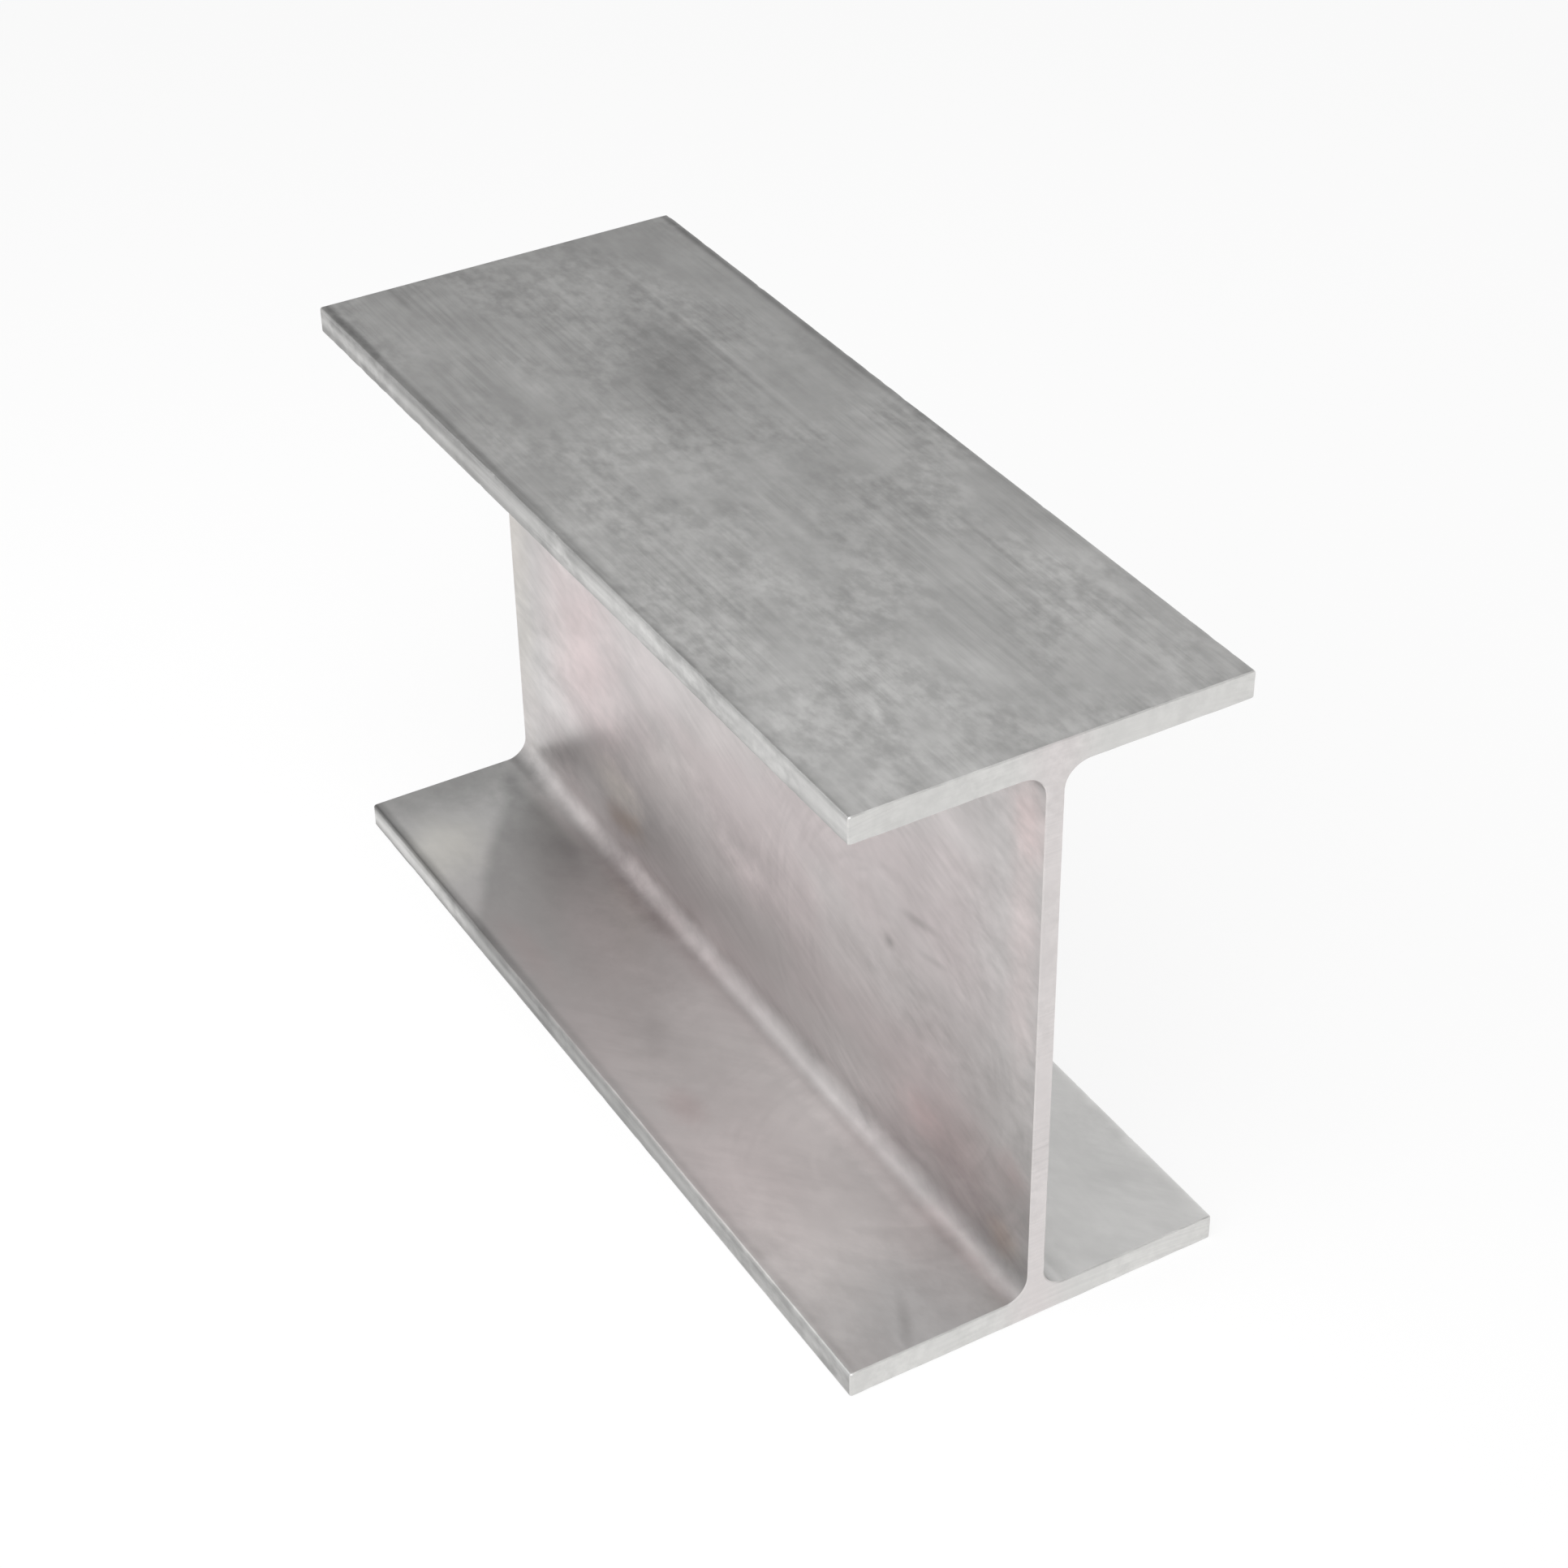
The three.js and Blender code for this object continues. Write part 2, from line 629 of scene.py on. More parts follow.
lines_inputs = {"Position": ORIGIN, "Turn": ORIGIN, "Pitch": 0.001, "Run": 0.05, "Seed": 0.0}
drawn_lines = new_tree("drawn_lines", "ShaderNodeTree", lines_inputs, build_lines)

# %% [markdown]
# ## The pickled skin
#
# Acid eats the scale off unevenly. It leaves a dull grey with lighter and darker clouds a few
# centimetres across, blotches the size of a fingertip inside them, and in places a fine
# mottle like coarse sand, all a little longer along the bar than across it. One group gives
# the three, so that sawn metal, which has a mottle but no clouds, can share it.

# %% Pickling mottle
MOTTLE_KINDS = {
    "Clouds": ("Cloud Size", 2),
    "Blotches": ("Blotch Size", 2),
    "Mottle": ("Mottle Size", 3),
}
MOTTLE_RANGE = (0.3, 0.7)
MOTTLE_PATCH = 0.028
MOTTLE_BREAKS = (0.38, 0.62, 0.25, 1)


def build_mottle(given):
    """Broad clouds, blotches and a patchy fine mottle, each as a value about 0.5."""
    x, y, z = parts_of(given["Position"])
    drawn = vector_of(x / given["Stretch"], y, z)
    values = {}
    for name, (size, detail) in MOTTLE_KINDS.items():
        place = scaled(drawn, 1 / given[size])
        value = noise(place, 1, given["Seed"], detail=detail, roughness=0.55)
        values[name] = remap(value, *MOTTLE_RANGE)

    # The mottle is strong in some patches and nearly gone in others.
    strength = remap(noise(drawn, MOTTLE_PATCH, given["Seed"]), *MOTTLE_BREAKS)
    values["Mottle"] = (values["Mottle"] - 0.5).times(strength, 0.5)
    return values


mottle_inputs = {
    "Position": ORIGIN,
    "Cloud Size": 0.05,
    "Blotch Size": 0.013,
    "Mottle Size": 0.004,
    "Stretch": 1.6,
    "Seed": 0.0,
}
mottle = new_tree("pickling_mottle", "ShaderNodeTree", mottle_inputs, build_mottle)

# %% [markdown]
# ## Wiped arcs
#
# Whoever checked the bar wiped it with a pad, and an arm that turns about an elbow draws
# arcs. They are shells of noise about a centre: the fourth number of a 4D noise runs with the
# distance from the centre, so the pattern changes fast outwards and slowly round.

# %% Wiped arcs
ARCS_RANGE = (0.35, 0.65)
ARCS_START = (0.3, 0.5)
ARCS_FADE = (0.7, 1, 1, 0)
ARCS_PATCH = 0.014
ARCS_BREAKS = (0.4, 0.6)
ARCS_SEED = 2.0


def build_arcs(given):
    """Faint arcs about a centre, as a value about 0.5, strongest past half their reach."""
    away = vectors("DISTANCE", given["Position"], given["Centre"])
    slow = scaled(given["Position"], 1 / given["Run"])
    shells = noise(slow, 1, away / given["Pitch"], detail=1)
    shells = remap(shells, *ARCS_RANGE) - 0.5
    reached = away / given["Reach"]
    fade = remap(reached, *ARCS_START) * remap(reached, *ARCS_FADE)
    breaks = noise(given["Position"], ARCS_PATCH, ARCS_SEED)
    return {"Arcs": shells.times(fade * remap(breaks, *ARCS_BREAKS), 0.5)}


arcs_inputs = {"Position": ORIGIN, "Centre": ORIGIN, "Pitch": 0.004, "Run": 0.02, "Reach": 0.05}
arcs = new_tree("wiped_arcs", "ShaderNodeTree", arcs_inputs, build_arcs)

# %% [markdown]
# ## Single marks
#
# A stain, a smudge or a dent belongs to one spot. Each is a soft-edged ellipsoid at its own
# place on the bar. Noise frays its rim so that it doesn't read as a drawn shape, and comes in
# from outside, because one noise serves all the spots and saves a lot of rendering.

# %% Spots
SPOT_RANGE = (0, 1.1, 1, 0)


def build_spot(given):
    """A frayed soft spot at a place on the bar, as a mask from 0 to 1."""
    away = vectors("SUBTRACT", given["Position"], given["Place"])
    rim = vectors("LENGTH", vectors("DIVIDE", away, given["Reach"])) + given["Ragged"]
    return {"Spot": remap(rim, *SPOT_RANGE)}


spot_inputs = {"Position": ORIGIN, "Place": ORIGIN, "Reach": (0.01, 0.01, 0.01), "Ragged": 0.0}
spot = new_tree("spot", "ShaderNodeTree", spot_inputs, build_spot)

# %% [markdown]
# ## A material's parts
#
# Both finishes start in the same way: an empty material and the Object coordinates, which are
# metres on the bar itself, so a pattern never slides when the bar moves. Both end in one
# Principled shader with a shallow bump. A tone is a number about 1 that the colour is
# multiplied by, and each effect adds its own small swing to it.

# %% Material helpers
MIX_TYPES = {"Float": "FLOAT", "Vector": "VECTOR", "Color": "RGBA"}
METALLIC = 0.85
RELIEF_STRENGTH = 0.5
RELIEF_HEIGHT = 0.00006


def mix(factor, a, b, kind="Float"):
    """a and b mixed by a factor, as numbers, vectors or colours."""
    inputs = {"Factor_Float": factor, f"A_{kind}": a, f"B_{kind}": b}
    data_type = MIX_TYPES[kind]
    return add(factor.tree, "ShaderNodeMix", inputs, f"Result_{kind}", data_type=data_type)


def group(source, position, **inputs):
    """A shader group fed with a position, and with its other inputs' names as words."""
    values = {name.replace("_", " ").title(): value for name, value in inputs.items()}
    values["Position"] = position
    return add(position.tree, "ShaderNodeGroup", values, node_tree=source)


def sway(value, amount, start=1.0):
    """start plus a value about 0.5, turned into plus or minus amount."""
    return (value - 0.5).times(amount * 2, start)


def cleared(owner):
    """The emptied node tree of a material or a world."""
    owner.use_nodes = True
    owner.node_tree.nodes.clear()
    return owner.node_tree


def new_metal(name):
    """A material that is still empty, and its object coordinates."""
    material = bpy.data.materials.new(name)
    return material, add(cleared(material), "ShaderNodeTexCoord", output="Object")


def finish_metal(material, colour, roughness, height):
    """Ends a metal's tree with its shader and its bump."""
    tree = material.node_tree
    bump = {"Height": height, "Strength": RELIEF_STRENGTH, "Distance": RELIEF_HEIGHT}
    inputs = {"Base Color": colour, "Roughness": roughness, "Metallic": METALLIC}
    inputs["Normal"] = add(tree, "ShaderNodeBump", bump)
    surface = add(tree, "ShaderNodeBsdfPrincipled", inputs)
    feed(tree.nodes.new("ShaderNodeOutputMaterial"), {"Surface": surface})
    print(material.name, "has", len(tree.nodes), "nodes")
    return material


print("material helpers ready")

# %% [markdown]
# ## Rolled steel: where it is light and dark
#
# Bare steel is a metal, so almost all of its look is reflection: its colour is a pale grey,
# and what changes over the surface is how dark and how rough it is. The outer faces are
# duller and darker than the channels. Part of the tone is painted shade and painted light.
# The outer faces are painted darker towards the far end and towards the right, and so are the
# left ledge and the web towards the far end. The web is painted darker just above its foot,
# and a painted shadow edge crosses the far end of the left ledge. The flange tips are painted
# darker, the lower ones most, though lighter again at their far end, and the right ledge is
# painted lighter. A thin darker line lies just inside each edge. The toes on the left carry a
# painted reflection: dark lines along them, and a painted highlight at the near end of the
# ledge.
#
# A tone that changes along a face is written as a range: from one place to another, the tone
# goes from its third number to its fourth, or from 0 to 1 where a range has only two.

# %% Tones of the rolled faces
OUTER_TONE = 0.65
# painted shade: the outer faces are painted darker towards the far end and towards the right
OUTER_ALONG = 1.1
OUTER_ACROSS = -0.4
# painted shade on the flange tips, darkest on the lower ones, and painted light at the far end of
# the lower ones
LOW_TIP_TONE = 0.52
TOP_TIP_TONE = 0.76
TIP_UP = (0.0, 0.15, LOW_TIP_TONE, TOP_TIP_TONE)
TIP_ALONG = (-0.10, 0.10, -0.02, 0.10)
FAR_LOW_TIP_LIGHT = 0.42
FAR_LOW_TIP_ALONG = (-0.135, -0.02, 1, 0)
FAR_LOW_TIP_UP = (0.0, 0.10, 1, 0)
# painted shade: the left ledge is painted darker towards the far end
LEDGE_ALONG = (-0.13, 0.08, -0.20, 0.10)
LEDGE_END = (0.11, 0.16, 0, -0.10)
# painted light: the right ledge is painted lighter
RIGHT_LEDGE_LIGHT = 0.25
# painted shade: the web is painted darker just above its foot, most from the middle to the near
# end
FOOT_UP = (0.014, 0.045, -0.13, 0)
FOOT_ALONG = (-0.11, -0.03)
NEAR_FOOT_TONE = -0.15
NEAR_FOOT_UP = (0.03, 0.06, 1, 0)
NEAR_FOOT_ALONG = (-0.03, 0.02)
NEAR_WEB = (0.05, 0.15, 0, -0.24)
# painted shade: the web is painted darker at its far end
FAR_WEB = (-0.155, -0.120, -0.09, 0)
# painted shadow: a sharp edge across the far end of the left ledge, darker on the web's side and
# fading inwards
SHADOW_EDGE_PLACE = (-0.154, -0.0171, 0)
SHADOW_EDGE_FACING = (0.556, 0.831, 0)
SHADOW_EDGE_RAGGED_SIZE = 0.02
SHADOW_EDGE_SEED = 1.0
SHADOW_EDGE_WIDTH = 0.007
SHADOW_EDGE_INWARDS = (0, 0.075, -0.24, 0)
# a darker line just inside each edge, strongest at the far end
EDGE_LINE_PLACE = 0.0018
EDGE_LINE_WIDTH = 0.0024
EDGE_LINE_TONE = -0.15
EDGE_LINE_ALONG = (-0.13, 0.12, 1.5, 0.35)
# painted reflection on the left toes: dark lines, and a painted highlight at the near end of the
# ledge
TOE_LINE = (0.0003, 0.0020, 1, 0)
TOP_TOE_ALONG = (-0.06, 0.0, -0.12, -0.24)
FAR_LEDGE_TOE = (-0.115, -0.04, -0.58, 0)
NEAR_LEDGE_TOE = (0.02, 0.10, 0, 0.18)
BETWEEN_FLANGES = (0.05, 0.15)


def painted_shadow_tone(position):
    """A painted shadow edge on the left ledge: sharp at its rim, fading inwards."""
    away = vectors("SUBTRACT", position, SHADOW_EDGE_PLACE)
    ragged = noise(position, SHADOW_EDGE_RAGGED_SIZE, SHADOW_EDGE_SEED) - 0.5
    inwards = ragged.times(SHADOW_EDGE_WIDTH, vectors("DOT_PRODUCT", away, SHADOW_EDGE_FACING))
    return remap(inwards, 0, SHADOW_EDGE_WIDTH) * remap(inwards, *SHADOW_EDGE_INWARDS)


def outer_tone(x, y, where):
    """The tone of the outer faces, with painted shade: darker to the far end and to the right."""
    drift = x.times(OUTER_ALONG, y * OUTER_ACROSS)
    return drift.times(OUTER_TONE, OUTER_TONE) * where["Outer Face"]


def tip_tone(x, z, where):
    """The tone of the flat flange tips, where they aren't part of an outer face: painted shade,
    darkest low, with painted light at the far end of the lower ones.
    """
    tone = remap(z, *TIP_UP) + remap(x, *TIP_ALONG)
    far_low_light = remap(x, *FAR_LOW_TIP_ALONG) * remap(z, *FAR_LOW_TIP_UP)
    tone = far_low_light.times(FAR_LOW_TIP_LIGHT, tone)
    return tone * where["Tip"] * (1 - where["Outer Face"])


def channel_tone(position, where):
    """The tone of the ledges and of the web with its fillets, with painted shade and painted light
    in it.
    """
    x, _, z = parts_of(position)
    # painted shade: the left ledge darker towards its far end
    ledge = remap(x, *LEDGE_ALONG) + remap(x, *LEDGE_END)
    ledge = mix(where["Left"], RIGHT_LEDGE_LIGHT, ledge + painted_shadow_tone(position))
    # painted shade above the web's foot
    foot = remap(z, *FOOT_UP) * remap(x, *FOOT_ALONG)
    near = remap(z, *NEAR_FOOT_UP) * remap(x, *NEAR_FOOT_ALONG)
    foot = near.times(NEAR_FOOT_TONE, foot)
    web = foot + remap(x, *NEAR_WEB) + remap(x, *FAR_WEB)
    tone = 1 + mix(where["Ledge"], web, ledge)
    neither = where["Outer Face"] + where["Tip"]
    return tone * (1 - neither.at_most(1))


def place_tone(position, where):
    """The tone of each part of the section, painted shade and painted light included."""
    x, y, z = parts_of(position)
    skin = outer_tone(x, y, where) + tip_tone(x, z, where)
    return skin + channel_tone(position, where)


def edge_line_tone(x, tone, where):
    """A tone with a darker line just inside the edges laid over it, strongest at the far end."""
    off_line = abs(where["Edge Distance"] - EDGE_LINE_PLACE)
    edge_line = remap(off_line, 0, EDGE_LINE_WIDTH, 1, 0) * remap(x, *EDGE_LINE_ALONG, smooth=False)
    return edge_line.times(EDGE_LINE_TONE, tone)


def toe_reflection_tone(x, z, tone, where):
    """A tone with a painted reflection along the left toes laid over it: dark lines, and a painted
    highlight at the near end of the ledge.
    """
    at_toe = remap(where["Edge Distance"], *TOE_LINE) * where["Left"]
    ledge = remap(x, *FAR_LEDGE_TOE) + remap(x, *NEAR_LEDGE_TOE)
    change = mix(remap(z, *BETWEEN_FLANGES), ledge, remap(x, *TOP_TOE_ALONG))
    return tone * at_toe.times(change, 1)


print("an outer face has", OUTER_TONE, "of a channel's tone")

# %% [markdown]
# ## Rolled steel: its marks
#
# Some marks belong to one place only: stains that the acid left, smudges, streaks, and pits.
# On the web, the root fillet and the ledge, many others are painted shade, painted light and
# painted highlight.
# Each row of the list says where a mark is and how far it reaches, in millimetres, what tone
# it gives to the steel under it, and how it tints it. A row may end with a turn in degrees.

# %% Marks
FRAY_SIZE = 0.016
FRAY_SEED = 0.0
FRAY = 0.9
DEGREE = math.radians(1)
PLAIN = (1, 1, 1)
ROSY = (1.04, 0.98, 0.98)
PINK = (1.05, 0.965, 0.965)
RUSTY = (1.08, 0.98, 0.90)
CREAM = (1.02, 1.01, 0.97)
COOL = (0.97, 1.0, 1.01)
MARKS = [
    # the top: two dark bands along the bar, lighter zones, streaks and a nick
    ((-64, 11, 203), (47, 23, 3), 0.66, PLAIN, (0, 0, 14)),
    ((-100, 0, 203), (16, 6, 3), 1.16, PLAIN),
    ((6, 19, 203), (45, 10, 3), 0.87, PLAIN),
    ((-125, 18, 203), (16, 6, 3), 1.18, PLAIN),
    ((-70, 31.5, 203), (95, 1.2, 3), 1.15, PLAIN),
    ((-70, 29, 203), (95, 1.4, 3), 0.87, PLAIN),
    ((-95, -42, 203), (22, 1.3, 3), 1.13, PLAIN),
    ((-148, -39, 203), (14, 1.5, 3), 0.82, PLAIN),
    ((-72, -40, 203), (35, 10, 3), 0.84, PLAIN),
    ((75, 39, 203), (30, 1.3, 3), 0.85, PLAIN),
    ((88, 31, 203), (34, 1.5, 3), 0.85, PLAIN),
    ((88, 53, 203), (38, 10, 3), 1.15, PLAIN),
    ((125, -52, 203), (45, 9, 3), 1.12, PLAIN),
    ((4, -28, 203), (5, 16, 3), 0.88, PLAIN),
    ((4, -54, 203), (20, 6, 3), 1.14, PLAIN),
    ((126, -33, 203), (5, 2.4, 3), 1.30, PLAIN, (0, 0, 20)),
    # the left face of the web: stains and painted shade above its foot, lighter patches of painted
    # light, strokes and a pit
    ((-84, -3, 26), (18, 4, 8), 0.84, RUSTY, (0, 12, 0)),
    ((-105, -3, 26), (16, 4, 11), 1.22, PLAIN),
    ((2, -3, 54), (22, 4, 14), 1.11, PLAIN),
    ((-75, -3, 86), (14, 4, 12), 0.87, PLAIN),
    ((-137, -3, 50), (28, 4, 10), 1.14, PLAIN),
    ((-88, -3, 38), (24, 4, 12), 1.34, CREAM),
    ((-158, -3, 100), (16, 4, 110), 1.02, CREAM),
    ((-45, -3, 58), (65, 4, 26), 1.34, PLAIN),
    ((-5, -3, 86), (85, 4, 30), 1.22, PLAIN),
    ((40, -3, 63), (75, 4, 10), 1.09, PLAIN),
    ((-112, -3, 80), (36, 4, 45), 1.08, ROSY),
    ((-137, -3, 29), (24, 4, 11), 0.82, PLAIN, (0, 27, 0)),
    ((128, -3, 36), (50, 4, 26), 0.96, PINK),
    ((102, -3, 36), (14, 4, 10), 1.14, ROSY),
    ((152, -3, 140), (10, 4, 70), 1.08, ROSY),
    ((130, -3, 145), (40, 4, 55), 1.12, PLAIN),
    ((154, -3, 176), (16, 4, 16), 1.16, PINK),
    ((152, -3, 48), (12, 4, 12), 0.86, PINK),
    ((85, -3, 88.5), (4, 3, 3.5), 0.68, PLAIN),
    ((101, -3, 106), (13, 3, 2.2), 0.78, PLAIN, (0, 12, 0)),
    ((108, -3, 97), (11, 3, 1.8), 0.86, PLAIN, (0, 14, 0)),
    ((104, -3, 81), (9, 3, 4), 0.88, PLAIN, (0, 20, 0)),
    # the left root fillet: painted shade that dims its highlight in stretches, a small rusty
    # stain, and painted highlight lines where it runs out on the ledge
    ((-60, -8, 12.5), (85, 8, 8), 0.74, ROSY),
    ((-132, -10.5, 9), (36, 4.8, 4), 1.26, PLAIN),
    ((-90, -5.5, 12), (24, 4, 5), 0.82, PLAIN),
    ((142, -8, 11.5), (45, 5, 6), 0.85, PINK),
    ((142, -4.5, 12.5), (45, 3, 4), 0.86, PLAIN),
    ((148, -9.5, 9), (18, 4, 3), 1.22, PLAIN),
    ((147, -4, 21), (12, 5, 9), 0.95, RUSTY),
    ((70, -10.3, 9), (90, 6.2, 4), 1.28, PLAIN),
    # the left ledge: painted shade by the web, in a broad band and at the far end, patches of
    # painted light, and smudges
    ((-96, -18, 9), (55, 24, 8), 0.82, PLAIN, (0, 0, -12)),
    ((-104, -17, 9), (12, 5, 3), 0.86, PLAIN),
    ((-124, -53, 9), (26, 20, 4), 1.22, CREAM, (0, 0, 30)),
    ((-162, -30, 9), (30, 60, 6), 0.64, PLAIN),
    ((10, -35, 9), (90, 21, 3), 0.80, PLAIN),
    ((-42, -21, 9), (42, 14, 4), 0.83, PLAIN),
    ((62, -20, 9), (32, 12, 3), 1.11, PLAIN),
    ((0, -38, 9), (16, 6, 3), 0.92, PLAIN, (0, 0, 20)),
    ((36, -47, 9), (14, 8, 3), 0.90, ROSY),
    ((-60, -54, 9), (30, 8, 3), 0.97, ROSY),
    ((95, -52, 9), (60, 16, 3), 1.10, PLAIN),
    ((152, -39, 9), (14, 3, 3), 0.80, PLAIN, (0, 0, 25)),
    ((156, -34, 9), (40, 40, 4), 0.95, COOL),
]


def each(vector, factor):
    """A plain vector with each of its parts multiplied by a factor."""
    return tuple(part * factor for part in vector)


def turned_about(position, middle, turn):
    """A position turned about the middle of a mark, by degrees about x, y and z."""
    inputs = {0: position, "Center": middle, "Rotation": each(turn, DEGREE)}
    return add(position.tree, "ShaderNodeVectorRotate", inputs, rotation_type="EULER_XYZ")


def marked(position, colour):
    """A colour with every mark of the list laid over it."""
    ragged = noise(position, FRAY_SIZE, FRAY_SEED, detail=4, roughness=0.7)
    ragged = (ragged - 0.5) * FRAY
    for place, reach, tone, tint, *turn in MARKS:
        place = each(place, MILLIMETRE)
        reach = each(reach, MILLIMETRE)
        where = turned_about(position, place, *turn) if turn else position
        mark = group(spot, where, place=place, reach=reach, ragged=ragged)
        changed = vectors("MULTIPLY", colour, each(tint, tone))
        colour = mix(mark, colour, changed, "Vector")
    return colour


print(len(MARKS), "marks listed")

# %% [markdown]
# ## Rolled steel: the finish
#
# The material puts the parts together. Lines, bands, clouds, blotches and mottle all swing the
# tone, and the lines and the mottle stand a few hundredths of a millimetre proud in the bump.
# They are strong on the outer faces and faint in the channels, where the rolls polished
# harder. The left channel is faintly rosy, as acid leaves it, and greyer at its ends.

# %% Rolled steel
STEEL = (0.66, 0.655, 0.645, 1)
ROSY_STEEL = (0.60, 0.548, 0.548, 1)
LINE_SIZES = {"pitch": 0.0017, "run": 0.045, "seed": 2.0}
BAND_SIZES = {"pitch": 0.009, "run": 0.16, "seed": 5.0}
CLOUD_SIZES = {"mottle_size": 0.0036, "seed": 1.0}
WEB_SCUFFS = {"turn": (0, -20 * DEGREE, 0), "pitch": 0.0022, "run": 0.022, "seed": 3.0}
LEDGE_SCUFFS = {"turn": (0, 0, -40 * DEGREE), "pitch": 0.004, "run": 0.02, "seed": 6.0}
OUTER_SWINGS = {"Lines": 0.08, "Bands": 0.07, "Clouds": 0.05, "Blotches": 0.07, "Mottle": 0.15}
CHANNEL_SWINGS = {"Lines": 0.02, "Bands": 0.03, "Clouds": 0.04, "Blotches": 0.08, "Mottle": 0.08}
QUIET = 0.25
HANDLED_END = (0.03, 0.12, 1, QUIET)
LEDGE_QUIET = 0.5
ARC_SIZES = {"centre": (0.092, -0.003, 0.067), "pitch": 0.003, "run": 0.02, "reach": 0.10}
ARC_TONE = 0.045
WEB_BLOOM = (0.005, 0.045, 0.45, 1.0)
LEDGE_BLOOM = (0.02, 0.09, 0.05, 0.5)
CLOUDY_BLOOM = (0, 1, 0.65, 1.1)
WEB_SCUFF_TONE = 0.05
LEDGE_SCUFF_TONE = 0.03
CHANNEL_RELIEF = 0.12
CHANNEL_ROUGHNESS = 0.33
ROOT_ROUGHNESS = 0.45
OUTER_ROUGHNESS = 0.48
ROUGHNESS_SWING = 0.02


def rolled_tone(position, where, skin):
    """The tone of the rolled faces, swung by every pattern and then by place."""
    x, _, z = parts_of(position)
    ledge = where["Ledge"]
    handled = remap(where["End Distance"], *HANDLED_END) * remap(ledge, 0, 1, 1, LEDGE_QUIET)
    busy = handled.at_least(where["Outside"].at_least(where["Root"]))
    tone = 1.0
    for name, quiet in CHANNEL_SWINGS.items():
        amount = remap(where["Outside"], 0, 1, quiet, OUTER_SWINGS[name])
        tone = sway(skin[name], amount * busy, tone)
    scuffs = [group(drawn_lines, position, **kind) for kind in (WEB_SCUFFS, LEDGE_SCUFFS)]
    depth = remap(ledge, 0, 1, WEB_SCUFF_TONE, LEDGE_SCUFF_TONE)
    tone = sway(mix(ledge, *scuffs), depth * where["Channel"], tone)
    tone = sway(group(arcs, position, **ARC_SIZES), where["Left"] * ARC_TONE, tone)
    tone = tone * place_tone(position, where)
    return toe_reflection_tone(x, z, edge_line_tone(x, tone, where), where)


def rolled_steel():
    """The finish of every rolled face."""
    material, position = new_metal("rolled_steel")
    where = group(places, position).outputs()
    where["Outside"] = where["Outer Face"].at_least(where["Tip"])
    skin = group(mottle, position, **CLOUD_SIZES).outputs()
    skin["Lines"] = group(drawn_lines, position, **LINE_SIZES)
    skin["Bands"] = group(drawn_lines, position, **BAND_SIZES)

    inwards = where["End Distance"]
    bloom = mix(where["Ledge"], remap(inwards, *WEB_BLOOM), remap(inwards, *LEDGE_BLOOM))
    bloom = bloom * remap(skin["Clouds"], *CLOUDY_BLOOM)
    rosy = where["Channel"] * where["Left"] * bloom
    colour = mix(rosy, STEEL, ROSY_STEEL, "Color")
    colour = marked(position, scaled(colour, rolled_tone(position, where, skin)))

    rough = remap(where["Root"], 0, 1, CHANNEL_ROUGHNESS, ROOT_ROUGHNESS)
    rough = mix(where["Outside"], rough, OUTER_ROUGHNESS)
    for name in ("Clouds", "Mottle"):
        rough = sway(skin[name], ROUGHNESS_SWING, rough)
    height = skin["Lines"] + skin["Mottle"]
    height = height * remap(where["Outer Face"], 0, 1, CHANNEL_RELIEF, 1)
    return finish_metal(material, colour, rough, height)


rolled = rolled_steel()

# %% [markdown]
# ## Sawn steel
#
# A band saw cut the bar off, so both ends are fresh, paler metal with fine level lines, a
# little bowed, because the blade bent as it came down. Where the sawyer paused, a darker line
# stayed. The group of drawn lines gives them when it is fed the distance across the end and
# the bowed height, in place of a point's own position.

# %% Sawn steel
SAWN_STEEL = (0.67, 0.665, 0.65, 1)
SAWN_WEB = (0.685, 0.65, 0.645, 1)
BLADE_BOW = 1.2
KERF_SIZES = {"pitch": 0.0011, "run": 0.06, "seed": 4.0}
PAUSE_HEIGHT = 0.0652
PAUSE_WIDTH = 0.0006
SAWN_SIZES = {"cloud_size": 0.03, "mottle_size": 0.003, "stretch": 1.0, "seed": 7.0}
SAWN_SWINGS = {"Clouds": 0.03, "Mottle": 0.06, "Kerfs": 0.06}
PAUSE_TONE = -0.12
SAWN_ROUGHNESS = 0.42
KERF_ROUGHNESS = 0.08


def sawn_steel():
    """The finish of both sawn ends."""
    material, position = new_metal("sawn_steel")
    _, y, z = parts_of(position)
    height = z + y * y * BLADE_BOW
    skin = group(mottle, position, **SAWN_SIZES).outputs()
    skin["Kerfs"] = group(drawn_lines, vector_of(y, height), **KERF_SIZES)
    tone = 1.0
    for name, swing in SAWN_SWINGS.items():
        tone = sway(skin[name], swing, tone)
    pause = remap(abs(height - PAUSE_HEIGHT), 0, PAUSE_WIDTH, 1, 0)
    tone = pause.times(PAUSE_TONE, tone)

    on_ledge = group(places, position).outputs()["Ledge"]
    colour = scaled(mix(on_ledge, SAWN_WEB, SAWN_STEEL, "Color"), tone)
    rough = sway(skin["Kerfs"], KERF_ROUGHNESS, SAWN_ROUGHNESS)
    return finish_metal(material, colour, rough, skin["Kerfs"] + skin["Mottle"])


sawn = sawn_steel()

# %% [markdown]
# ## Making the bar
#
# The tree runs as a modifier on an empty object. Its sizes and finishes are set by each
# input's identifier, because the names are only labels. The evaluated result then becomes a
# plain mesh of its own, in metres about the bar's own origin, and the object that carried the
# modifier goes. It rides on the bar's only body and stands for the plain model's one piece.

# %% Make the bar
SMOOTH_UP_TO = math.radians(30)


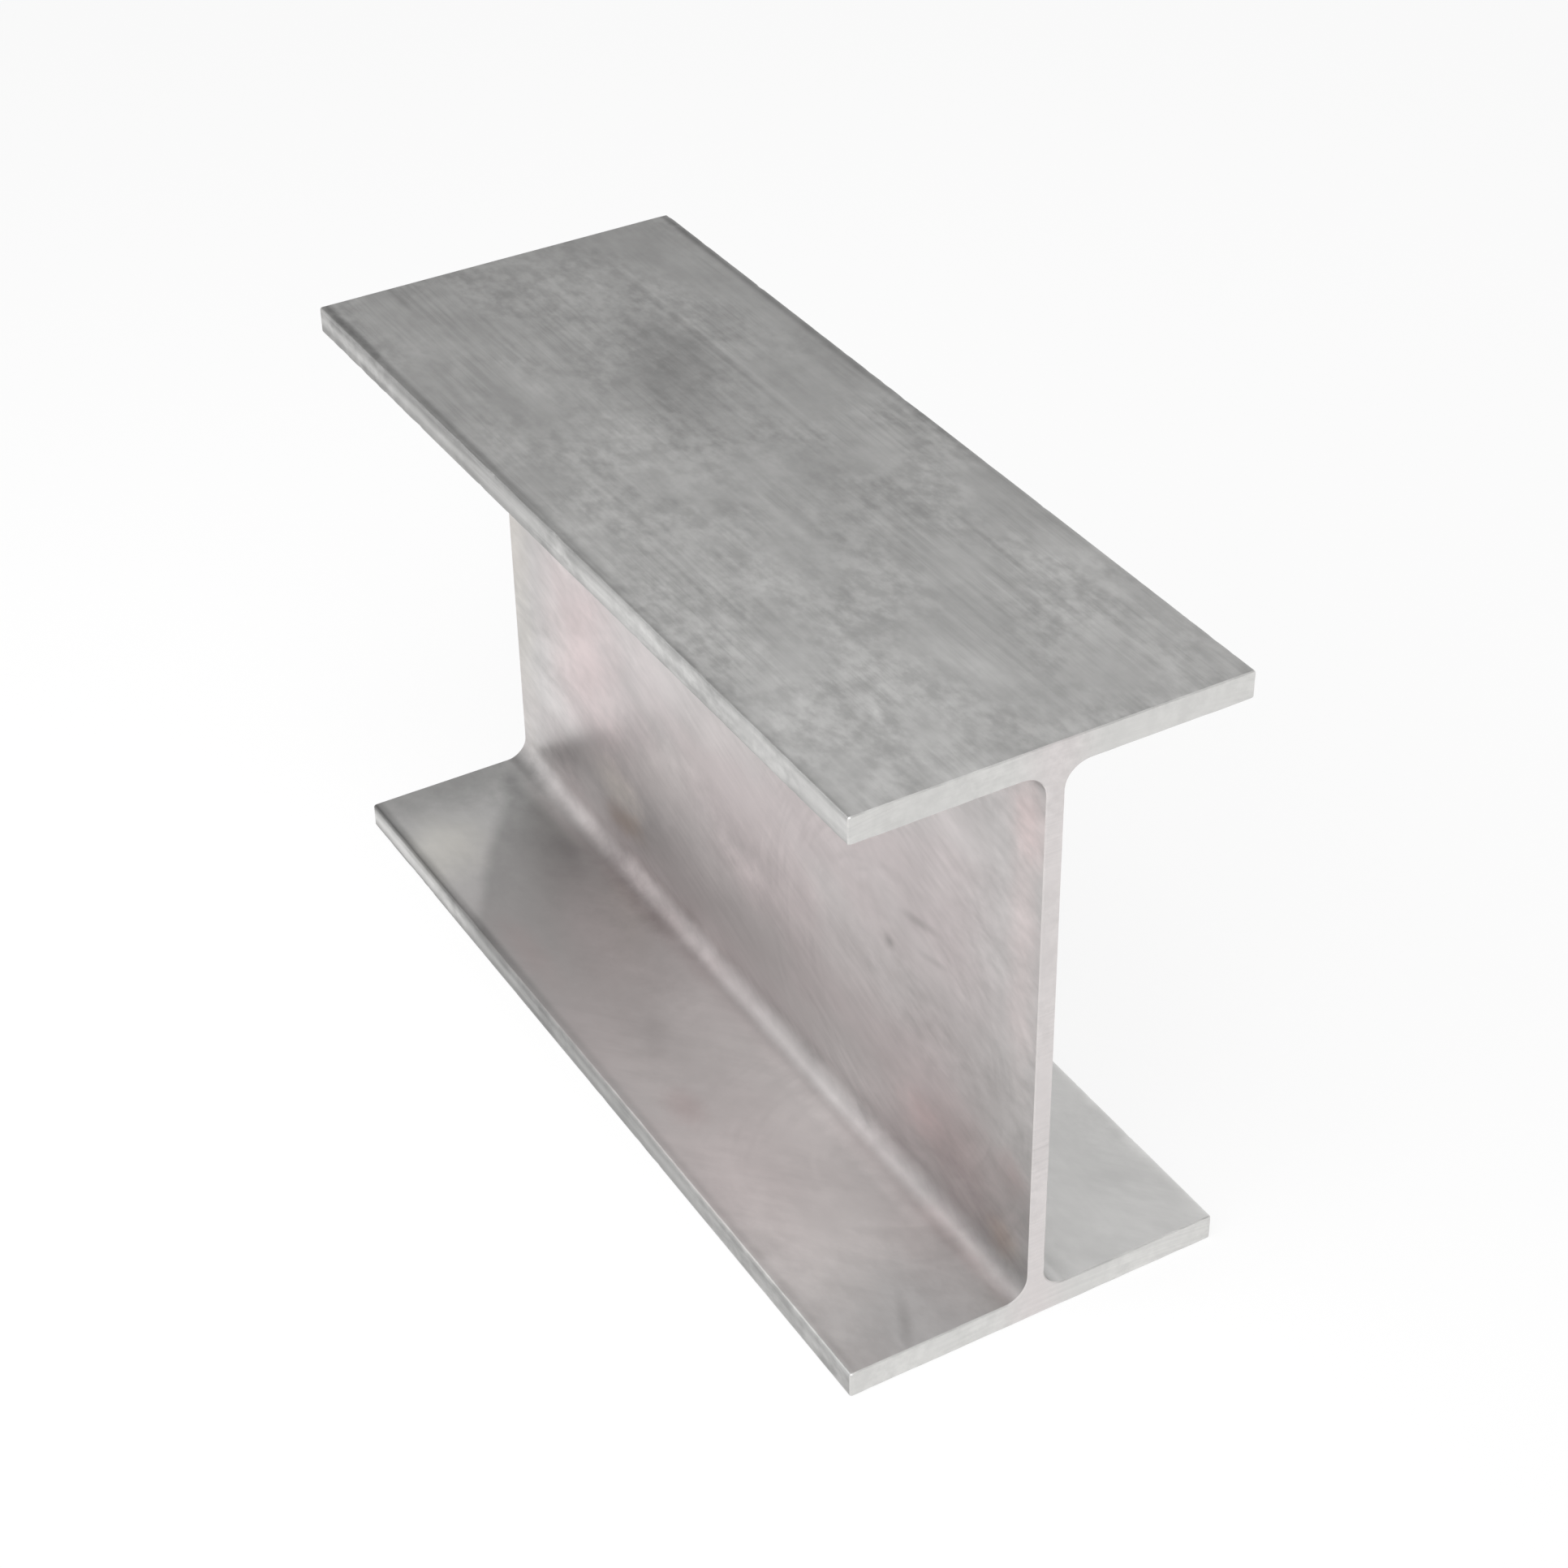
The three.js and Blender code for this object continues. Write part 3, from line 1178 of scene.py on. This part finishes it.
def make_bar():
    """The finished bar as a plain mesh, made by the tree and rid of its modifier."""
    maker = bpy.data.objects.new("maker", bpy.data.meshes.new("maker"))
    bpy.context.collection.objects.link(maker)
    modifier = maker.modifiers.new("rolled_bar", "NODES")
    modifier.node_group = bar_nodes
    wanted = sizes | {"Rolled Faces": rolled, "Sawn Ends": sawn}
    for item in bar_nodes.interface.items_tree:
        if item.in_out == "INPUT" and item.name in wanted:
            modifier[item.identifier] = wanted[item.name]
    ready = maker.evaluated_get(bpy.context.evaluated_depsgraph_get())
    mesh = bpy.data.meshes.new_from_object(ready)
    mesh.shade_smooth()
    mesh.set_sharp_from_angle(angle=SMOOTH_UP_TO)
    bpy.data.objects.remove(maker)
    bar = bpy.data.objects.new("i_beam_bar", mesh)
    bpy.context.collection.objects.link(bar)
    return bar


bar = make_bar()
triangles = sum(len(face.vertices) - 2 for face in bar.data.polygons)
print("the bar has", len(bar.data.vertices), "vertices and", triangles, "triangles")

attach(bar, "root")
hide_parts("i_beam")

# %% [markdown]
# ## The floor
#
# Bare metal is seen by what it mirrors, so the studio matters as much as the finish. The
# floor is a wide pale sheet. Where the camera or a reflection looks at it, most of what it
# shows is its own even white, which hides where the floor ends. The rest is plain diffuse
# paint, so the bar still casts a soft shadow on it, and no more light falls on the bar. It
# lies a tenth of a millimetre low, so that it never cuts through the underside's waves.

# %% Floor
FLOOR_REACH = 8.0
FLOOR_LEVEL = -0.0001
FLOOR_GLOW = 0.85
FLOOR_COLOUR = (0.94, 0.94, 0.94, 1)
WHITE = (1, 1, 1, 1)


def floor_material():
    """Pale paint that the camera and reflections see mostly as even white."""
    material = bpy.data.materials.new("floor")
    tree = cleared(material)
    diffuse = add(tree, "ShaderNodeBsdfDiffuse", {"Color": FLOOR_COLOUR})
    ray = add(tree, "ShaderNodeLightPath").outputs()
    seen = ray["Is Camera Ray"].at_least(ray["Is Glossy Ray"])
    seen = seen.at_least(ray["Is Transmission Ray"])
    glow = add(tree, "ShaderNodeEmission", {"Color": WHITE, "Strength": 1.0})
    both = add(tree, "ShaderNodeMixShader", {0: seen * FLOOR_GLOW, 1: diffuse, 2: glow})
    feed(tree.nodes.new("ShaderNodeOutputMaterial"), {"Surface": both})
    return material


def make_floor():
    """A square floor under the bar."""
    corners = [(-1, -1), (1, -1), (1, 1), (-1, 1)]
    mesh = bpy.data.meshes.new("floor")
    points = [(FLOOR_REACH * x, FLOOR_REACH * y, FLOOR_LEVEL) for x, y in corners]
    mesh.from_pydata(points, [], [(0, 1, 2, 3)])
    mesh.materials.append(floor_material())
    floor = bpy.data.objects.new("floor", mesh)
    bpy.context.collection.objects.link(floor)
    return floor


make_floor()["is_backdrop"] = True
print("the floor is", 2 * FLOOR_REACH, "metres across")

# %% [markdown]
# ## The room
#
# The walls of the room are the world: near white, and darker overhead, which is why the top
# of the bar is the darkest face. On the left, at about the height of a table lamp, a dark
# screen stands, as a studio would put there to give polished metal something to mirror. The
# web's foot and the left ledge see it, and its edge draws the shading on them.

# %% World
WALL = 0.92
CEILING = 0.15
CEILING_FADE = (0.5, 0.9, WALL, CEILING)
SCREEN_SIDE = -60
SCREEN_TIGHTNESS = 5
SCREEN_FADE = (0.35, 0.62, 0, 0.76)


def make_world():
    """Near-white walls, a darker ceiling and the dark screen on the left."""
    world = bpy.data.worlds.new("world")
    bpy.context.scene.world = world
    tree = cleared(world)
    look = add(tree, "ShaderNodeTexCoord", output="Generated")
    _, _, up = parts_of(look)
    level = vectors("NORMALIZE", vectors("MULTIPLY", look, (1, 1, 0)))
    towards = tuple(direction(math.radians(SCREEN_SIDE), 0))
    side = vectors("DOT_PRODUCT", level, towards).at_least(0)
    screen = remap(up, *SCREEN_FADE) * maths("POWER", side, SCREEN_TIGHTNESS)
    strength = remap(up, *CEILING_FADE) * (1 - screen)
    background = add(tree, "ShaderNodeBackground", {"Color": WHITE, "Strength": strength})
    feed(tree.nodes.new("ShaderNodeOutputWorld"), {"Surface": background})


make_world()
print("the walls shine at", WALL, "and the ceiling at", CEILING)

# %% [markdown]
# ## Lamps
#
# Softboxes are square panels of even light. Their power is worked out from how bright the
# panel looks, so that a panel can be made larger without also making it brighter. The key
# hangs high on the camera's side. The second faces the web from the left, close and low
# enough that the top doesn't throw it back to an eye behind the bar. Two weak ones fill in.
# The camera doesn't see them.

# %% Softboxes
LAMPS = {
    "key": {"azimuth": 60, "elevation": 65, "distance": 1.6, "size": 1.0, "radiance": 4.0},
    "front_left": {"azimuth": 5, "elevation": 45, "distance": 0.65, "size": 0.42, "radiance": 2.7},
    "left": {"azimuth": -51.3, "elevation": 33.7, "distance": 0.54, "size": 0.25, "radiance": 1.0},
    "camera_side": {"azimuth": 30, "elevation": 30, "distance": 1.0, "size": 0.5, "radiance": 1.0},
}


def softbox(name, azimuth, elevation, distance, size, radiance):
    """A square panel lamp turned to the bar, placed by its angles in degrees round it."""
    data = bpy.data.lights.new(name, "AREA")
    data.shape = "SQUARE"
    data.size = size
    data.energy = math.pi * size * size * radiance
    lamp = bpy.data.objects.new(name, data)
    towards = direction(math.radians(azimuth), math.radians(elevation))
    lamp.location = centre + towards * distance
    lamp.rotation_mode = "QUATERNION"
    lamp.rotation_quaternion = (centre - lamp.location).to_track_quat("-Z", "Y")
    lamp.visible_camera = False
    bpy.context.collection.objects.link(lamp)
    print(f"{name}: {data.energy:.2f} watts")


for name, settings in LAMPS.items():
    softbox(name, **settings)

# %% [markdown]
# ## Last settings
#
# The Standard view keeps colours as they are written. The box of the plain model and the box
# of the finished one are printed, so that the two can be compared.

# %% Sizes and finish
bpy.context.scene.view_settings.view_transform = "Standard"

visual_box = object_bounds()
boxes = {"cad": cad_box, "visual": visual_box}
for name, box in boxes.items():
    print(name, [[round(value, 5) for value in corner] for corner in box])
